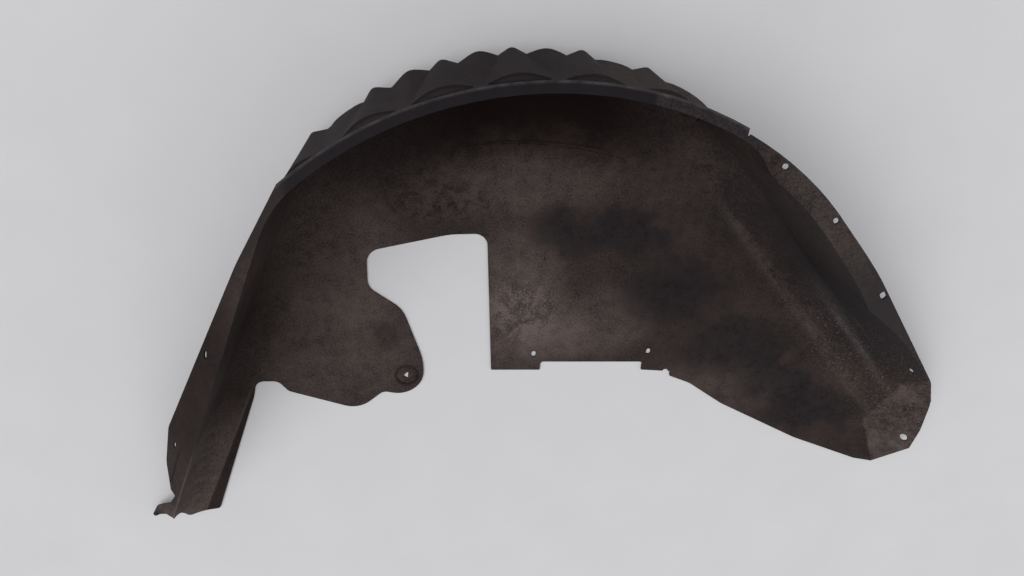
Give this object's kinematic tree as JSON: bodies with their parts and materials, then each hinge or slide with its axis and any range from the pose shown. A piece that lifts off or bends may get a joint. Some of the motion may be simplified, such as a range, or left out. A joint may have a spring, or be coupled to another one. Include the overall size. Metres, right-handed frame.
{
  "type": "wheel arch liner",
  "caption": "Moulded wheel arch liner with a corrugated band, flat inner wall with a strut opening, slotted rim flange and a foot with a tab.",
  "frame": {"origin": "on the wheel's axis, at the inner wall's outer face, which is the face it lies on", "axes": "+X towards the tail, +Y up towards the crown as fitted on a car, +Z outboard, from the inner wall to the open rim"},
  "size_m": [1.0733, 0.679, 0.218],
  "materials": {
    "liner": "matte, worn and dusty"
  },
  "bodies": {
    "root": {"wheel_arch_liner": "liner"}
  },
  "joints": []
}
